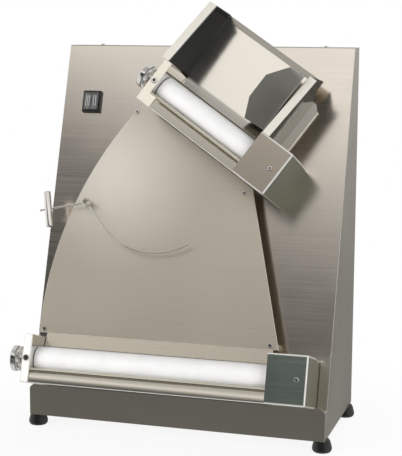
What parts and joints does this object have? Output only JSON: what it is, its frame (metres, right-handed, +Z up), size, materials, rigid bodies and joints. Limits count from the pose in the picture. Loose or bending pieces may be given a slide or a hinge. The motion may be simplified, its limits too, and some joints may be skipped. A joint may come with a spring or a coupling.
{
  "type": "dough sheeter",
  "caption": "Bench-top dough sheeter: leaning stainless casing, tilted hopper and roller unit above a slide plate with a balance wire, level roller unit below, knobs and push buttons.",
  "frame": {"origin": "middle of the overall footprint, on the surface that the feet stand on", "axes": "+X to the right of someone facing the rollers, towards the gear boxes; +Y away from them, towards the back cover; +Z up"},
  "size_m": [0.511, 0.3122, 0.6755],
  "materials": {
    "stainless_sheet": "brushed, satin",
    "stainless_plate": "fine satin",
    "polished_sheet": "polished",
    "cover_sheet": "brushed",
    "shaft_steel": "ground",
    "gear_steel": "machined",
    "screw_steel": "bright",
    "knob_chrome": "knurled grip",
    "bright_wire": "polished",
    "bar_aluminium": "turned",
    "drive_aluminium": "turned",
    "scraper_brass": "satin",
    "white_sleeve": "food-grade, matt",
    "black_rubber": "matt",
    "belt_rubber": "matt",
    "black_plastic": "moulded",
    "grey_button": "moulded",
    "motor_paint": "semi-gloss"
  },
  "bodies": {
    "machine": {"balance_stud": "shaft_steel", "base_plate": "stainless_sheet", "cable_gland": "black_plastic", "casing_screws": "screw_steel", "dough_deflector": "polished_sheet", "front_lips": "stainless_sheet", "front_panel": "stainless_sheet", "hopper_back": "polished_sheet", "hopper_left_wall": "polished_sheet", "hopper_right_wall": "polished_sheet", "kick_panel": "stainless_sheet", "left_side_panel": "stainless_sheet", "lower_drive_belt": "belt_rubber", "lower_gear_cover": "cover_sheet", "lower_gear_motor": "motor_paint", "lower_left_end_plate": "stainless_plate", "lower_motor_bracket": "shaft_steel", "lower_right_end_plate": "stainless_plate", "lower_scrapers": "scraper_brass", "lower_tie_bars": "shaft_steel", "plate_screws": "screw_steel", "plate_spacers": "shaft_steel", "rear_cover": "stainless_sheet", "right_side_panel": "stainless_sheet", "rubber_feet": "black_rubber", "slide_plate": "stainless_sheet", "switch_body": "black_plastic", "unit_screws": "screw_steel", "upper_drive_belt": "belt_rubber", "upper_gear_cover": "cover_sheet", "upper_gear_motor": "motor_paint", "upper_left_end_plate": "stainless_plate", "upper_motor_bracket": "shaft_steel", "upper_right_end_plate": "stainless_plate", "upper_scrapers": "scraper_brass", "upper_tie_bars": "shaft_steel"},
    "upper_carriage": {"upper_slide_blocks": "scraper_brass"},
    "upper_front_roll": {"upper_front_roller": "white_sleeve", "upper_front_shaft": "shaft_steel", "upper_front_gear": "gear_steel"},
    "upper_rear_roll": {"upper_rear_roller": "white_sleeve", "upper_rear_shaft": "shaft_steel", "upper_rear_gear": "gear_steel", "upper_drive_pulley": "drive_aluminium"},
    "upper_motor_output": {"upper_motor_pulley": "drive_aluminium"},
    "upper_knob": {"upper_thickness_knob": "knob_chrome"},
    "lower_carriage": {"lower_slide_blocks": "scraper_brass"},
    "lower_front_roll": {"lower_front_roller": "white_sleeve", "lower_front_shaft": "shaft_steel", "lower_front_gear": "gear_steel"},
    "lower_rear_roll": {"lower_rear_roller": "white_sleeve", "lower_rear_shaft": "shaft_steel", "lower_rear_gear": "gear_steel", "lower_drive_pulley": "drive_aluminium"},
    "lower_motor_output": {"lower_motor_pulley": "drive_aluminium"},
    "lower_knob": {"lower_thickness_knob": "knob_chrome"},
    "balance": {"balance_wire": "bright_wire", "balance_weight": "bar_aluminium"},
    "start_key": {"start_button": "grey_button"},
    "stop_key": {"stop_button": "grey_button"}
  },
  "joints": [
    {"name": "upper_gap_slide", "type": "slide", "parent": "machine", "child": "upper_carriage", "axis": [0, -0.9506, 0.3104], "range_m": [0, 0.004]},
    {"name": "upper_front_spin", "type": "hinge", "parent": "upper_carriage", "child": "upper_front_roll", "pos_m": [0.16735, -0.04223, 0.41068], "axis": [0.829, -0.1736, -0.5316], "continuous": true},
    {"name": "upper_rear_spin", "type": "hinge", "parent": "machine", "child": "upper_rear_roll", "pos_m": [0.16735, -0.00136, 0.39734], "axis": [0.829, -0.1736, -0.5316], "continuous": true},
    {"name": "upper_motor_spin", "type": "hinge", "parent": "machine", "child": "upper_motor_output", "pos_m": [0.16735, 0.08943, 0.3677], "axis": [0.829, -0.1736, -0.5316], "continuous": true},
    {"name": "upper_knob_turn", "type": "hinge", "parent": "machine", "child": "upper_knob", "pos_m": [0.16735, -0.01989, 0.40339], "axis": [0.829, -0.1736, -0.5316], "range_deg": [0, 180]},
    {"name": "lower_gap_slide", "type": "slide", "parent": "machine", "child": "lower_carriage", "axis": [0, -0.9506, 0.3104], "range_m": [0, 0.004]},
    {"name": "lower_front_spin", "type": "hinge", "parent": "lower_carriage", "child": "lower_front_roll", "pos_m": [0.231, -0.11296, 0.11997], "axis": [1, 0, 0], "continuous": true},
    {"name": "lower_rear_spin", "type": "hinge", "parent": "machine", "child": "lower_rear_roll", "pos_m": [0.231, -0.07208, 0.10663], "axis": [1, 0, 0], "continuous": true},
    {"name": "lower_motor_spin", "type": "hinge", "parent": "machine", "child": "lower_motor_output", "pos_m": [0.231, 0.0187, 0.07699], "axis": [1, 0, 0], "continuous": true},
    {"name": "lower_knob_turn", "type": "hinge", "parent": "machine", "child": "lower_knob", "pos_m": [0.231, -0.09062, 0.11268], "axis": [1, 0, 0], "range_deg": [0, 180]},
    {"name": "balance_swing", "type": "hinge", "parent": "machine", "child": "balance", "pos_m": [-0.155, -0.0255, 0.35883], "axis": [0, -0.9506, 0.3104], "range_deg": [-30, 30]},
    {"name": "start_press", "type": "slide", "parent": "machine", "child": "start_key", "axis": [0, 0.9506, -0.3104], "range_m": [0, 0.003], "stiffness_N_per_m": 300, "springref_m": -0.003},
    {"name": "stop_press", "type": "slide", "parent": "machine", "child": "stop_key", "axis": [0, 0.9506, -0.3104], "range_m": [0, 0.003], "stiffness_N_per_m": 300, "springref_m": -0.003}
  ],
  "couplings": [
    {"joint": "upper_front_spin", "follows": "upper_rear_spin", "ratio": -1},
    {"joint": "upper_motor_spin", "follows": "upper_rear_spin", "ratio": 1},
    {"joint": "upper_knob_turn", "follows": "upper_gap_slide", "rad_per_m": 785.32},
    {"joint": "lower_front_spin", "follows": "lower_rear_spin", "ratio": -1},
    {"joint": "lower_motor_spin", "follows": "lower_rear_spin", "ratio": 1},
    {"joint": "lower_knob_turn", "follows": "lower_gap_slide", "rad_per_m": 785.32}
  ]
}
